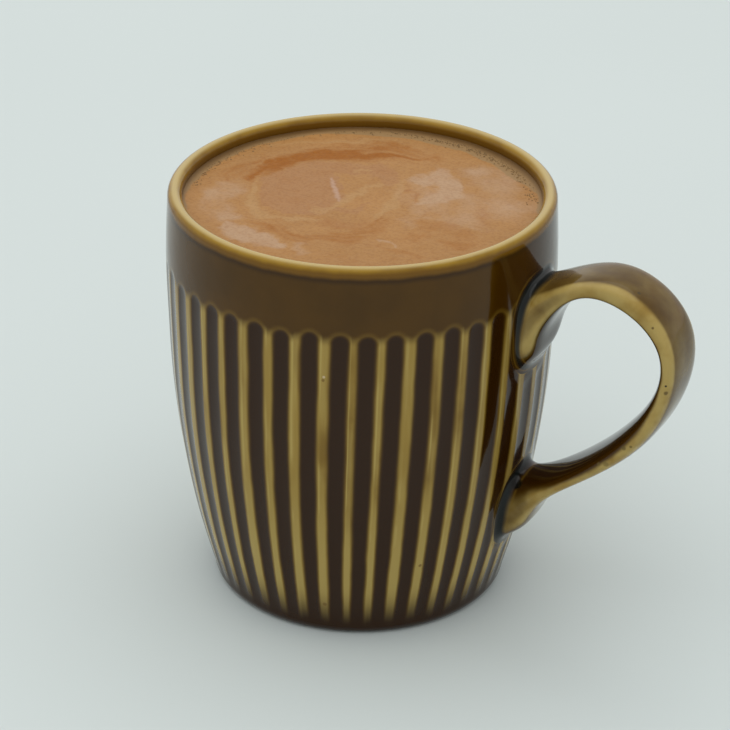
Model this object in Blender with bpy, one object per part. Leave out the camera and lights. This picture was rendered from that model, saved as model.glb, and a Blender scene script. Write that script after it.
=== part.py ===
"""A fluted stoneware mug, filled almost to the brim with caffe mocha.

The mug is one fired solid: a turned cup with gouged upright flutes, a round lip and a strap
handle. The drink is a second solid that fills the cup up to its level, a hair clear of the wall.
The cup's axis is Z, the foot stands on Z = 0 and the handle points along +X.
"""
import math

import bmesh
import bpy
import numpy as np

MM = 0.001

# Cup: outer shape, measured over the ridges between the flutes
CUP_HEIGHT = 94.4 * MM
RIM_RADIUS = 42.5 * MM
LIP_THICKNESS = 3.2 * MM
FOOT_RADIUS = 30.8 * MM          # edge of the flat underside
FOOT_ROUNDING = 3.0 * MM         # height of the rounded edge above the underside
BODY_OUTLINE_MM = (              # height, radius
    (3.0, 33.4),
    (15.8, 36.8),
    (28.6, 39.35),
    (41.5, 41.2),
    (54.3, 42.3),
    (67.2, 42.8),
    (80.0, 43.05),
    (92.8, 42.5),
)

# Cup: inside
WALL_THICKNESS = 4.5 * MM
WALL_THINS_FROM = 70.0 * MM      # above this height the wall thins towards the lip
FLOOR_HEIGHT = 6.5 * MM
FLOOR_CORNER_RADIUS = 12.0 * MM

# Flutes, gouged upright into the body
FLUTE_COUNT = 44
FLUTE_DEPTH = 0.20 * MM          # shallow, because the glaze has filled them
FLUTE_WIDTH_SHARE = 0.62         # of the spacing; the rest is the ridge between two flutes
FLUTE_TOP = 79.4 * MM            # where the round upper end of a flute runs out
FLUTE_TOP_SPREAD = 0.35 * MM     # the ends were cut by hand, so they differ a little
FLUTE_ANGLE_SPREAD = 0.045       # of the spacing
FLUTE_SHIFTS = {                 # of the spacing, for the flutes whose places are known
    30: -0.004, 31: -0.045, 32: 0.013, 33: 0.0, 34: 0.037, 35: 0.070, 36: 0.019,
    37: -0.036, 38: 0.008, 39: 0.018, 40: -0.005, 41: -0.019, 42: -0.021,
}
FLUTE_LEAN = 0.56                # radians per metre of height: the flutes lean a little
FLUTE_LEAN_FROM = 70.0 * MM      # height at which they stand in their places
FLUTE_FADE = (2.2 * MM, 6.0 * MM)  # the flutes run out into the foot between these heights

# Handle: a flattened strap in the plane Y = 0, given by its outer and its inner edge.
# Each edge runs from the upper root to the lower root: distance from the axis, height.
STRAP_OUTER_EDGE_MM = (
    (40.0, 81.2), (46.9, 83.6), (62.5, 87.4), (76.6, 74.7),
    (70.3, 50.3), (50.3, 33.0), (43.3, 22.8), (34.2, 15.6),
)
STRAP_INNER_EDGE_MM = (
    (40.6, 59.6), (46.9, 73.0), (57.1, 82.5), (72.5, 73.5),
    (66.5, 54.4), (50.9, 39.4), (41.2, 35.5), (38.0, 38.4),
)
STRAP_WIDTH_MM = (18.9, 15.2, 13.9, 15.6, 16.6, 14.7, 12.8)
STRAP_FULLNESS = 2.9             # 2 would be an oval section, more is squarer
STRAP_INNER_FULLNESS = (2.4, 3.5, 3.0, 2.4, 2.1, 2.1, 2.3)  # of the inner face, root to root
HEEL_MM = (1.1, -1.0)            # the inner edge swells out and down close to the upper root
HEEL_AT = 0.075                  # where along the strap, of its whole length
HEEL_SPREAD = 0.042
STRAP_STATIONS = 26
STRAP_SIDES = 16

# Drink
DRINK_BELOW_RIM = 3.1 * MM
DRINK_CLEARANCE = 0.3 * MM       # gap to the cup's wall and floor
DRINK_COLUMNS = 66

# Facets
COLUMNS_PER_FLUTE = 3            # one flute edge, its bottom and its other edge
BODY_ROW_HEIGHTS_MM = (6.0, 14.0, 28.0, 42.0, 56.0, 68.0, 77.5, 78.8)
BAND_ROW_HEIGHTS_MM = (80.6, 86.5)
LIP_STEPS = 6
FOOT_STEPS = 3
CAVITY_ROW_HEIGHTS_MM = (76.0, 46.0)
CORNER_STEPS = 3

MUG_COLOUR = (0.16, 0.085, 0.022, 1.0)
DRINK_COLOUR = (0.45, 0.26, 0.13, 1.0)


def clear_scene():
    for item in list(bpy.data.objects):
        bpy.data.objects.remove(item, do_unlink=True)


def natural_spline(knots, values):
    """A smooth curve through the given values, as a function of the knot coordinate."""
    knots = np.asarray(knots, float)
    values = np.asarray(values, float)
    last = len(knots) - 1
    gaps = np.diff(knots)
    system = np.eye(last + 1)
    target = np.zeros(values.shape)
    for i in range(1, last):
        system[i, i - 1:i + 2] = gaps[i - 1], 2 * (gaps[i - 1] + gaps[i]), gaps[i]
        rise_after = (values[i + 1] - values[i]) / gaps[i]
        rise_before = (values[i] - values[i - 1]) / gaps[i - 1]
        target[i] = 6 * (rise_after - rise_before)
    bend = np.linalg.solve(system, target)

    def curve(x):
        i = int(np.clip(np.searchsorted(knots, x) - 1, 0, last - 1))
        a = (knots[i + 1] - x) / gaps[i]
        b = (x - knots[i]) / gaps[i]
        cubic = (a ** 3 - a) * bend[i] + (b ** 3 - b) * bend[i + 1]
        return a * values[i] + b * values[i + 1] + cubic * gaps[i] ** 2 / 6

    return curve


outline = np.array(BODY_OUTLINE_MM) * MM
body_radius = natural_spline(outline[:, 0], outline[:, 1])
LIP_CENTRE_HEIGHT = CUP_HEIGHT - LIP_THICKNESS / 2
LIP_CENTRE_RADIUS = RIM_RADIUS - LIP_THICKNESS / 2


def smooth_step(low, high, x):
    t = min(max((x - low) / (high - low), 0.0), 1.0)
    return t * t * (3 - 2 * t)


def hand_wobble(index, salt):
    """A fixed value between -1 and 1 for each flute, so that no two are quite alike."""
    return math.sin(index * 12.9898 + salt * 78.233) * math.cos(index * 4.1414 + salt)


def cavity_radius(height):
    thinning = smooth_step(WALL_THINS_FROM, LIP_CENTRE_HEIGHT, height)
    wall = WALL_THICKNESS + (LIP_THICKNESS - WALL_THICKNESS) * thinning
    return body_radius(height) - wall


def flute_depth(index, across, height):
    """How deep flute number index is, at a distance across from its centre line."""
    half_width = math.pi * RIM_RADIUS / FLUTE_COUNT * FLUTE_WIDTH_SHARE
    top = FLUTE_TOP + FLUTE_TOP_SPREAD * hand_wobble(index, 1)
    past_end_centre = max(0.0, height - (top - half_width))
    reach = math.hypot(across, past_end_centre) / half_width
    fade = smooth_step(*FLUTE_FADE, height)
    return FLUTE_DEPTH * fade * max(0.0, 1 - reach * reach)


def flute_angle(place, height):
    """The angle about the axis of a place counted in flutes, at this height."""
    lean = FLUTE_LEAN * (height - FLUTE_LEAN_FROM)
    return (place + 0.5) * 2 * math.pi / FLUTE_COUNT + lean


def fluted_ring(height):
    """One row of points round the body, following the ridges and flutes at this height."""
    points = []
    pitch = 2 * math.pi / FLUTE_COUNT
    for index in range(FLUTE_COUNT):
        shift = FLUTE_SHIFTS.get(index, FLUTE_ANGLE_SPREAD * hand_wobble(index, 2))
        for place in (-FLUTE_WIDTH_SHARE / 2, 0.0, FLUTE_WIDTH_SHARE / 2):
            angle = flute_angle(index + shift + place, height)
            across = place * pitch * RIM_RADIUS
            radius = body_radius(height) - flute_depth(index, across, height)
            points.append((radius * math.cos(angle), radius * math.sin(angle), height))
    return points


def plain_ring(radius, height, columns):
    """A circle of points, of which the middle one in each flute's spacing is on its centre line."""
    first = flute_angle(-1 / COLUMNS_PER_FLUTE, height)
    angles = [first + 2 * math.pi * i / columns for i in range(columns)]
    return [(radius * math.cos(a), radius * math.sin(a), height) for a in angles]


def foot_rings(columns):
    """The rounded edge from the flat underside up to the body."""
    rings = []
    widening = body_radius(FOOT_ROUNDING) - FOOT_RADIUS
    for step in range(FOOT_STEPS + 1):
        turn = math.pi / 2 * step / FOOT_STEPS
        radius = FOOT_RADIUS + widening * math.sin(turn)
        rings.append(plain_ring(radius, FOOT_ROUNDING * (1 - math.cos(turn)), columns))
    return rings


def lip_rings(columns):
    rings = []
    for step in range(LIP_STEPS + 1):
        turn = math.pi * step / LIP_STEPS
        radius = LIP_CENTRE_RADIUS + LIP_THICKNESS / 2 * math.cos(turn)
        rings.append(plain_ring(radius, LIP_CENTRE_HEIGHT + LIP_THICKNESS / 2 * math.sin(turn), columns))
    return rings


def cavity_rings(columns, clearance, top_height):
    """The inside of the cup from top_height down to the floor, drawn in by the clearance."""
    heights = [top_height] + [h * MM for h in CAVITY_ROW_HEIGHTS_MM]
    rings = [plain_ring(cavity_radius(h) - clearance, h, columns) for h in heights]
    corner_height = FLOOR_HEIGHT + FLOOR_CORNER_RADIUS
    corner_radius = cavity_radius(corner_height) - FLOOR_CORNER_RADIUS
    bend = FLOOR_CORNER_RADIUS - clearance
    for step in range(CORNER_STEPS + 1):
        turn = math.pi / 2 * step / CORNER_STEPS
        radius = corner_radius + bend * math.cos(turn)
        rings.append(plain_ring(radius, corner_height - bend * math.sin(turn), columns))
    return rings


def closed_mesh(name, rings):
    """Joins the rings, first to last, with a flat face over each end."""
    mesh = bpy.data.meshes.new(name)
    bm = bmesh.new()
    rows = [[bm.verts.new(point) for point in ring] for ring in rings]
    for lower, upper in zip(rows, rows[1:]):
        count = len(lower)
        for i in range(count):
            j = (i + 1) % count
            bm.faces.new((lower[i], lower[j], upper[j], upper[i]))
    bm.faces.new(list(reversed(rows[0])))
    bm.faces.new(rows[-1])
    bmesh.ops.recalc_face_normals(bm, faces=bm.faces)
    bm.to_mesh(mesh)
    bm.free()
    return mesh


def add_object(name, mesh):
    item = bpy.data.objects.new(name, mesh)
    bpy.context.scene.collection.objects.link(item)
    return item


def shade(item, sharp_degrees):
    item.data.shade_smooth()
    item.data.set_sharp_from_angle(angle=math.radians(sharp_degrees))


def glossy_material(name, colour, roughness):
    material = bpy.data.materials.new(name)
    material.use_nodes = True
    shader = material.node_tree.nodes["Principled BSDF"]
    shader.inputs["Base Color"].default_value = colour
    shader.inputs["Roughness"].default_value = roughness
    shader.inputs["Metallic"].default_value = 0.0
    return material


def make_cup_body():
    columns = FLUTE_COUNT * COLUMNS_PER_FLUTE
    rings = foot_rings(columns)
    rings += [fluted_ring(h * MM) for h in BODY_ROW_HEIGHTS_MM]
    rings += [plain_ring(body_radius(h * MM), h * MM, columns) for h in BAND_ROW_HEIGHTS_MM]
    rings += lip_rings(columns)
    rings += cavity_rings(columns, 0.0, LIP_CENTRE_HEIGHT - LIP_THICKNESS)
    return add_object("mug", closed_mesh("mug", rings))


def strap_section(centre, half_thick, half_width, inner_fullness):
    """A rounded oblong across the strap, as a ring of points."""
    ring = []
    for side in range(STRAP_SIDES):
        turn = 2 * math.pi * (side + 0.5) / STRAP_SIDES
        power = 2 / (inner_fullness if math.sin(turn) < 0 else STRAP_FULLNESS)
        across = math.copysign(abs(math.cos(turn)) ** power, math.cos(turn)) * half_width
        through = math.copysign(abs(math.sin(turn)) ** power, math.sin(turn))
        place = centre + through * half_thick
        ring.append((place[0], across, place[1]))
    return ring


def make_handle_form():
    """The strap, its flared roots sunk into the wall of the cup."""
    outer_edge = np.array(STRAP_OUTER_EDGE_MM) * MM
    inner_edge = np.array(STRAP_INNER_EDGE_MM) * MM
    outer_at = natural_spline(np.linspace(0, 1, len(outer_edge)), outer_edge)
    inner_at = natural_spline(np.linspace(0, 1, len(inner_edge)), inner_edge)
    widths = np.array(STRAP_WIDTH_MM) * MM
    width_at = natural_spline(np.linspace(0, 1, len(widths)), widths)
    inner_fullness_at = natural_spline(np.linspace(0, 1, len(STRAP_INNER_FULLNESS)), STRAP_INNER_FULLNESS)
    heel = np.array(HEEL_MM) * MM
    rings = []
    for u in np.linspace(0, 1, STRAP_STATIONS):
        outer = outer_at(u)
        inner = inner_at(u) + heel * math.exp(-((u - HEEL_AT) / HEEL_SPREAD) ** 2)
        centre = (outer + inner) / 2
        half_thick = (outer - inner) / 2
        rings.append(strap_section(centre, half_thick, width_at(u) / 2, inner_fullness_at(u)))
    form = add_object("handle_form", closed_mesh("handle_form", rings))
    form.hide_render = True
    form.display_type = "WIRE"
    return form


def join_handle(cup, form):
    union = cup.modifiers.new("handle", "BOOLEAN")
    union.operation = "UNION"
    union.solver = "EXACT"
    union.object = form


def make_drink():
    level = CUP_HEIGHT - DRINK_BELOW_RIM
    rings = cavity_rings(DRINK_COLUMNS, DRINK_CLEARANCE, level)
    return add_object("drink", closed_mesh("drink", rings))


def main():
    clear_scene()
    cup = make_cup_body()
    form = make_handle_form()
    shade(form, 50)
    shade(cup, 50)
    join_handle(cup, form)
    cup.data.materials.append(glossy_material("brown_glaze", MUG_COLOUR, 0.12))
    drink = make_drink()
    shade(drink, 40)
    drink.data.materials.append(glossy_material("mocha", DRINK_COLOUR, 0.35))


main()
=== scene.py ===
"""Looks for the fluted mug of caffe mocha: glazed stoneware, the drink and its foam.

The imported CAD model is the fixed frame. Both of its nodes are replaced by finer pieces of the same
shape: the glazed mug, with rounded flutes and filleted handle roots, and the drink's frothy surface.
Lengths in the tables are in millimetres; the meshes are made in metres.
"""
import math

import bmesh
import bpy
import numpy as np
from mathutils import Matrix, Vector, noise


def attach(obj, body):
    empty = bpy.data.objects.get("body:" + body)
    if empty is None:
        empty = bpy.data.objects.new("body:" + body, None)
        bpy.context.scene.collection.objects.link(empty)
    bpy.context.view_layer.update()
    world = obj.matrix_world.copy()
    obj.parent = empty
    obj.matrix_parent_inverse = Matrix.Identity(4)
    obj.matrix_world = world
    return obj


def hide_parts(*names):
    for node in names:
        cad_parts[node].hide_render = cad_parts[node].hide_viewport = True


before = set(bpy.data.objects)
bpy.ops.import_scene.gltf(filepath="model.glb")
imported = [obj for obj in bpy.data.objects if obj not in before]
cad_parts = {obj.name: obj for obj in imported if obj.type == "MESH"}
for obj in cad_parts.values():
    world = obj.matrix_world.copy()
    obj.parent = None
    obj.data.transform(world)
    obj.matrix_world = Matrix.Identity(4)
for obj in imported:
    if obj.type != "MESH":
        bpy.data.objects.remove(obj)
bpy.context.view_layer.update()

MM = 0.001

# ---------------------------------------------------------------- cup, as in the CAD model
CUP_HEIGHT = 94.4
RIM_RADIUS = 42.5
LIP_THICKNESS = 3.2
FOOT_RADIUS = 30.8
FOOT_ROUNDING = 3.0
BODY_OUTLINE = (
    (3.0, 33.4), (15.8, 36.8), (28.6, 39.35), (41.5, 41.2),
    (54.3, 42.3), (67.2, 42.8), (80.0, 43.05), (92.8, 42.5),
)
WALL_THICKNESS = 4.5
WALL_THINS_FROM = 70.0
FLOOR_HEIGHT = 6.5
FLOOR_CORNER_RADIUS = 12.0

FLUTE_COUNT = 44
FLUTE_DEPTH = 0.20
FLUTE_WIDTH_SHARE = 0.62
FLUTE_TOP = 79.4
FLUTE_TOP_SPREAD = 0.35
FLUTE_ANGLE_SPREAD = 0.045
FLUTE_SHIFTS = {
    30: -0.004, 31: -0.045, 32: 0.013, 33: 0.0, 34: 0.037, 35: 0.070, 36: 0.019,
    37: -0.036, 38: 0.008, 39: 0.018, 40: -0.005, 41: -0.019, 42: -0.021,
}
FLUTE_LEAN = 0.00056     # radians per millimetre of height
FLUTE_LEAN_FROM = 70.0
FLUTE_FADE = (2.2, 6.0)

STRAP_OUTER_EDGE = (
    (40.0, 81.2), (46.9, 83.6), (62.5, 87.4), (76.6, 74.7),
    (70.3, 50.3), (50.3, 33.0), (43.3, 22.8), (34.2, 15.6),
)
STRAP_INNER_EDGE = (
    (40.6, 59.6), (46.9, 73.0), (57.1, 82.5), (72.5, 73.5),
    (66.5, 54.4), (50.9, 39.4), (41.2, 35.5), (38.0, 38.4),
)
STRAP_WIDTH = (18.9, 15.2, 13.9, 15.6, 16.6, 14.7, 12.8)
STRAP_FULLNESS = 2.9
STRAP_INNER_FULLNESS = (2.4, 3.5, 3.0, 2.4, 2.1, 2.1, 2.3)
HEEL = (1.1, -1.0)       # the inner edge swells out and down just below the upper root
HEEL_AT = 0.075
HEEL_SPREAD = 0.042

DRINK_BELOW_RIM = 3.1

# ---------------------------------------------------------------- fineness of the visual meshes
PHASES = (-0.5, -0.43, -0.37, -0.325, -0.29, -0.24, -0.13, 0.0, 0.13, 0.24, 0.29, 0.325, 0.37, 0.43)
FLUTE_SPREAD = 1.25      # a flute's rounded shoulders reach this many half widths
ROOT_HALF_COLUMNS = 29
LOWER_ROOT_HEIGHTS = (12.5, 41.5)
UPPER_ROOT_HEIGHTS = (58.5, 84.5)
ROOT_ROWS = 26
PATCH_STEPS = 6
FILLET_STEPS = 7
FILLET_ON_STRAP = 2.4
FILLET_ON_WALL = 2.2
UPPER_ROOT_TALL, UPPER_ROOT_WIDE = 10.0, 9.7     # half sizes of the handle's roots on the wall
LOWER_ROOT_TALL, LOWER_ROOT_WIDE = 11.5, 6.2
LOWER_ROOT_MIDDLE = 27.0
STRAP_ROWS = 96

PITCH = 2 * math.pi / FLUTE_COUNT
FLUTE_HALF_WIDTH = math.pi * RIM_RADIUS / FLUTE_COUNT * FLUTE_WIDTH_SHARE
LIP_CENTRE_HEIGHT = CUP_HEIGHT - LIP_THICKNESS / 2
LIP_CENTRE_RADIUS = RIM_RADIUS - LIP_THICKNESS / 2

# The camera's azimuth round the cup, measured from the handle
CAMERA_FROM_HANDLE = math.radians(62.8)
VIEW_TURN = math.pi / 2 - CAMERA_FROM_HANDLE


def natural_spline(knots, values):
    knots = np.asarray(knots, float)
    values = np.asarray(values, float)
    last = len(knots) - 1
    gaps = np.diff(knots)
    system = np.eye(last + 1)
    target = np.zeros(values.shape)
    for i in range(1, last):
        system[i, i - 1:i + 2] = gaps[i - 1], 2 * (gaps[i - 1] + gaps[i]), gaps[i]
        target[i] = 6 * ((values[i + 1] - values[i]) / gaps[i] - (values[i] - values[i - 1]) / gaps[i - 1])
    bend = np.linalg.solve(system, target)

    def curve(x):
        x = np.asarray(x, float)
        i = np.clip(np.searchsorted(knots, x) - 1, 0, last - 1)
        a = (knots[i + 1] - x) / gaps[i]
        b = (x - knots[i]) / gaps[i]
        g = gaps[i]
        if values.ndim > 1:
            a, b, g = a[..., None], b[..., None], g[..., None]
        cubic = (a ** 3 - a) * bend[i] + (b ** 3 - b) * bend[i + 1]
        return a * values[i] + b * values[i + 1] + cubic * g ** 2 / 6

    return curve


def even_spline(values):
    return natural_spline(np.linspace(0, 1, len(values)), values)


outline = np.array(BODY_OUTLINE)
body_radius = natural_spline(outline[:, 0], outline[:, 1])
outer_edge = even_spline(STRAP_OUTER_EDGE)
inner_path = even_spline(STRAP_INNER_EDGE)
strap_width = even_spline(STRAP_WIDTH)
inner_fullness = even_spline(STRAP_INNER_FULLNESS)


def inner_edge(u):
    swell = np.exp(-((np.asarray(u, float) - HEEL_AT) / HEEL_SPREAD) ** 2)
    return inner_path(u) + swell[..., None] * np.array(HEEL)


def smooth_step(low, high, x):
    t = np.clip((np.asarray(x, float) - low) / (high - low), 0.0, 1.0)
    return t * t * (3 - 2 * t)


def hand_wobble(index, salt):
    return np.sin(index * 12.9898 + salt * 78.233) * np.cos(index * 4.1414 + salt)


def lean(height):
    return FLUTE_LEAN * (np.asarray(height, float) - FLUTE_LEAN_FROM)


flute_shift = np.array([FLUTE_SHIFTS.get(k, FLUTE_ANGLE_SPREAD * hand_wobble(k, 2))
                        for k in range(FLUTE_COUNT)])


def shifted(index, place):
    """A place counted from a flute's centre line, moved with the flute but not half way to the next."""
    return flute_shift[np.asarray(index, int) % FLUTE_COUNT] * (1 - smooth_step(0.34, 0.5, np.abs(place)))


def cavity_radius(height):
    thinning = smooth_step(WALL_THINS_FROM, LIP_CENTRE_HEIGHT, height)
    return body_radius(height) - WALL_THICKNESS - (LIP_THICKNESS - WALL_THICKNESS) * thinning


def fluted(index, place, angle, height, fill=0.0):
    """Points on the fluted body, with how far across and how far past its end centre each is."""
    index = np.asarray(index) % FLUTE_COUNT
    across = np.abs(place) * PITCH * RIM_RADIUS
    past = height - (FLUTE_TOP + FLUTE_TOP_SPREAD * hand_wobble(index, 1) - FLUTE_HALF_WIDTH)
    reach = np.hypot(across, np.maximum(0.0, past)) / FLUTE_HALF_WIDTH
    inside = 1 - (reach / FLUTE_SPREAD) ** 3
    soft = np.maximum(inside, 0.0) ** 2
    depth = FLUTE_DEPTH * smooth_step(*FLUTE_FADE, height) * soft * (1 - fill)
    radius = body_radius(height) - depth
    points = np.stack([radius * np.cos(angle), radius * np.sin(angle), height + 0 * radius], -1)
    return points, {"across": across + 0 * radius, "past": past + 0 * radius, "side": place * 2 + 0 * radius}


def flute_at(angle, height):
    """The flute at this angle, and the place across it, the inverse of the columns' own angles."""
    turns = (angle - lean(height)) / PITCH - 0.5
    index = np.round(turns)
    place = turns - index
    for _ in range(6):
        place = turns - index - shifted(index, place)
    return index, place


# ---------------------------------------------------------------- mesh building
class MeshMaker:
    """Collects points with their measures, and faces, and makes one object of them."""

    def __init__(self, *measures):
        self.points = []
        self.measures = {name: [] for name in measures}
        self.faces = []
        self.count = 0

    def add(self, points, **values):
        points = np.asarray(points, float)
        shape = points.shape[:-1]
        size = int(np.prod(shape))
        self.points.append(points.reshape(-1, 3))
        for name, rows in self.measures.items():
            rows.append(np.broadcast_to(values.get(name, 0.0), shape).reshape(-1))
        first = self.count
        self.count += size
        return np.arange(first, first + size).reshape(shape)

    def strip(self, lower, upper, closed=True):
        """Faces between two rows of the same length."""
        if closed:
            lower, upper = np.append(lower, lower[0]), np.append(upper, upper[0])
        self.faces.append(np.stack([lower[:-1], lower[1:], upper[1:], upper[:-1]], -1))

    def fan(self, ring, centre, flip=False):
        following = np.roll(ring, -1)
        middle = np.full_like(ring, centre)
        order = (following, ring, middle) if flip else (ring, following, middle)
        self.faces.append(np.stack(order, -1))

    def make(self, name):
        points = np.concatenate(self.points) * MM
        mesh = bpy.data.meshes.new(name)
        mesh.from_pydata(points.tolist(), [], [f for block in self.faces for f in block.tolist()])
        used = np.zeros(len(points), bool)
        for block in self.faces:
            used[block.ravel()] = True
        for label, rows in self.measures.items():
            layer = mesh.attributes.new(label, "FLOAT", "POINT")
            layer.data.foreach_set("value", np.concatenate(rows).astype(np.float32))
        if not used.all():
            bm = bmesh.new()
            bm.from_mesh(mesh)
            bmesh.ops.delete(bm, geom=[v for v in bm.verts if not v.link_faces], context="VERTS")
            bm.to_mesh(mesh)
            bm.free()
        mesh.shade_smooth()
        item = bpy.data.objects.new(name, mesh)
        bpy.context.scene.collection.objects.link(item)
        return item


# ---------------------------------------------------------------- the mug
FAR_PAST = 20.0      # the measure past a flute's end that marks plain glaze without flutes
FAR_FROM_RIM = 30.0


def body_rows():
    """Heights of the rows of the fluted body, and the row numbers that bound the two roots."""
    low = np.linspace(FOOT_ROUNDING, LOWER_ROOT_HEIGHTS[0], 9)
    lower_root = np.linspace(*LOWER_ROOT_HEIGHTS, ROOT_ROWS + 1)
    middle = np.linspace(LOWER_ROOT_HEIGHTS[1], UPPER_ROOT_HEIGHTS[0], 10)
    upper_root = np.concatenate([
        np.linspace(UPPER_ROOT_HEIGHTS[0], 76.2, 11),
        np.linspace(76.2, 80.4, 13)[1:],
        np.linspace(80.4, UPPER_ROOT_HEIGHTS[1], 5)[1:],
    ])
    top = np.linspace(UPPER_ROOT_HEIGHTS[1], LIP_CENTRE_HEIGHT, 6)
    parts = (low, lower_root, middle, upper_root, top)
    heights = np.concatenate([parts[0]] + [part[1:] for part in parts[1:]])
    first_lower = len(low) - 1
    first_upper = first_lower + ROOT_ROWS + len(middle) - 1
    return heights, first_lower, first_upper


def tube(u, turn):
    """Points on the strap's skin: u runs along it, turn goes round its section."""
    outer, inner, width = outer_edge(u), inner_edge(u), strap_width(u)
    power = 2 / np.where(np.sin(turn) < 0, inner_fullness(u), STRAP_FULLNESS)
    across = np.sign(np.cos(turn)) * np.abs(np.cos(turn)) ** power
    through = np.sign(np.sin(turn)) * np.abs(np.sin(turn)) ** power
    middle = (outer + inner) / 2 + through[..., None] * (outer - inner) / 2
    return np.stack([middle[..., 0], across * width / 2, middle[..., 1]], -1), across, through


def make_mug():
    maker = MeshMaker("across", "past", "side", "thin", "dark", "pool", "bare", "rim")
    phases = np.array(PHASES)
    columns = len(phases) * FLUTE_COUNT
    index = np.repeat(np.arange(FLUTE_COUNT), len(phases))
    place = np.tile(phases, FLUTE_COUNT)
    angle = (index + 0.5 + place + shifted(index, place)) * PITCH
    plain_across = np.abs(place) * PITCH * RIM_RADIUS

    def ring(radius, height, turned, **values):
        around = angle + lean(turned)
        points = np.stack([radius * np.cos(around), radius * np.sin(around), height + 0 * around], -1)
        values.setdefault("rim", FAR_FROM_RIM)
        return maker.add(points, across=plain_across, **values)

    # Underside, with its bare clay ring, and the rounded foot
    base = [
        ring(24.0, 0.0, 0.0, past=-90, bare=0.0),
        ring(25.2, 0.0, 0.0, past=-90, bare=1.0),
        ring(29.6, 0.0, 0.0, past=-90, bare=1.0),
        ring(FOOT_RADIUS, 0.0, 0.0, past=-78, bare=0.4),
    ]
    widening = body_radius(FOOT_ROUNDING) - FOOT_RADIUS
    for step in range(1, 7):
        turn = math.pi / 2 * step / 7
        height = FOOT_ROUNDING * (1 - math.cos(turn))
        base.append(ring(FOOT_RADIUS + widening * math.sin(turn), height, height, past=height - 77.5))
    centre = maker.add(np.zeros((1, 3)), past=-90.0, rim=FAR_FROM_RIM)[0]
    maker.fan(base[0], centre, flip=True)

    heights, first_lower, first_upper = body_rows()
    rows = []
    for height in heights:
        points, measures = fluted(index, place, angle + lean(height), height)
        from_crest = LIP_THICKNESS / 2 * math.pi / 2 + LIP_CENTRE_HEIGHT - height
        rows.append(maker.add(points, rim=min(from_crest, FAR_FROM_RIM), **measures))

    lip = []
    for step in range(1, 17):
        turn = math.pi * step / 16
        lip.append(ring(LIP_CENTRE_RADIUS + LIP_THICKNESS / 2 * math.cos(turn),
                        LIP_CENTRE_HEIGHT + LIP_THICKNESS / 2 * math.sin(turn),
                        LIP_CENTRE_HEIGHT, past=FAR_PAST, rim=LIP_THICKNESS / 2 * (math.pi / 2 - turn)))
    inside = []
    for height in (92.2, 91.6, 91.0, 90.4, 89.5, 88.0, 82.0, 72.0, 46.0):
        from_crest = LIP_THICKNESS / 2 * math.pi / 2 + LIP_CENTRE_HEIGHT - height
        inside.append(ring(cavity_radius(height), height, LIP_CENTRE_HEIGHT, past=FAR_PAST, rim=-from_crest))
    corner_height = FLOOR_HEIGHT + FLOOR_CORNER_RADIUS
    corner_radius = cavity_radius(corner_height) - FLOOR_CORNER_RADIUS
    for step in range(5):
        turn = math.pi / 2 * step / 4
        inside.append(ring(corner_radius + FLOOR_CORNER_RADIUS * math.cos(turn),
                           corner_height - FLOOR_CORNER_RADIUS * math.sin(turn),
                           LIP_CENTRE_HEIGHT, past=FAR_PAST, rim=-FAR_FROM_RIM))
    floor_centre = maker.add(np.array([[0, 0, FLOOR_HEIGHT]]), past=FAR_PAST, rim=-FAR_FROM_RIM)[0]
    maker.fan(inside[-1], floor_centre)

    # All the rings joined, except the two windows where the handle's roots are let in
    chain = base + rows + lip + inside
    start = len(base)
    windows = ((start + first_lower, start + first_lower + ROOT_ROWS),
               (start + first_upper, start + first_upper + ROOT_ROWS))
    for number, (lower, upper) in enumerate(zip(chain, chain[1:])):
        if any(a <= number < b for a, b in windows):
            keep = np.arange(ROOT_HALF_COLUMNS, columns - ROOT_HALF_COLUMNS + 1)
            maker.strip(lower[keep], upper[keep], closed=False)
        else:
            maker.strip(lower, upper)

    add_handle(maker, rows, heights, angle, first_lower, first_upper)
    mug = maker.make("mug_glazed")
    return mug


def window_walk(first, flip):
    """The rows and columns of a root's window in the order of its edge."""
    c, last = ROOT_HALF_COLUMNS, first + ROOT_ROWS
    bottom, top = (last, first) if flip else (first, last)
    way = 1 if top > bottom else -1
    walk = [(bottom, col) for col in range(-c, c)]
    walk += [(row, c) for row in range(bottom, top, way)]
    walk += [(top, col) for col in range(c, -c, -1)]
    walk += [(row, -c) for row in range(top, bottom, -way)]
    return walk


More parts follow.
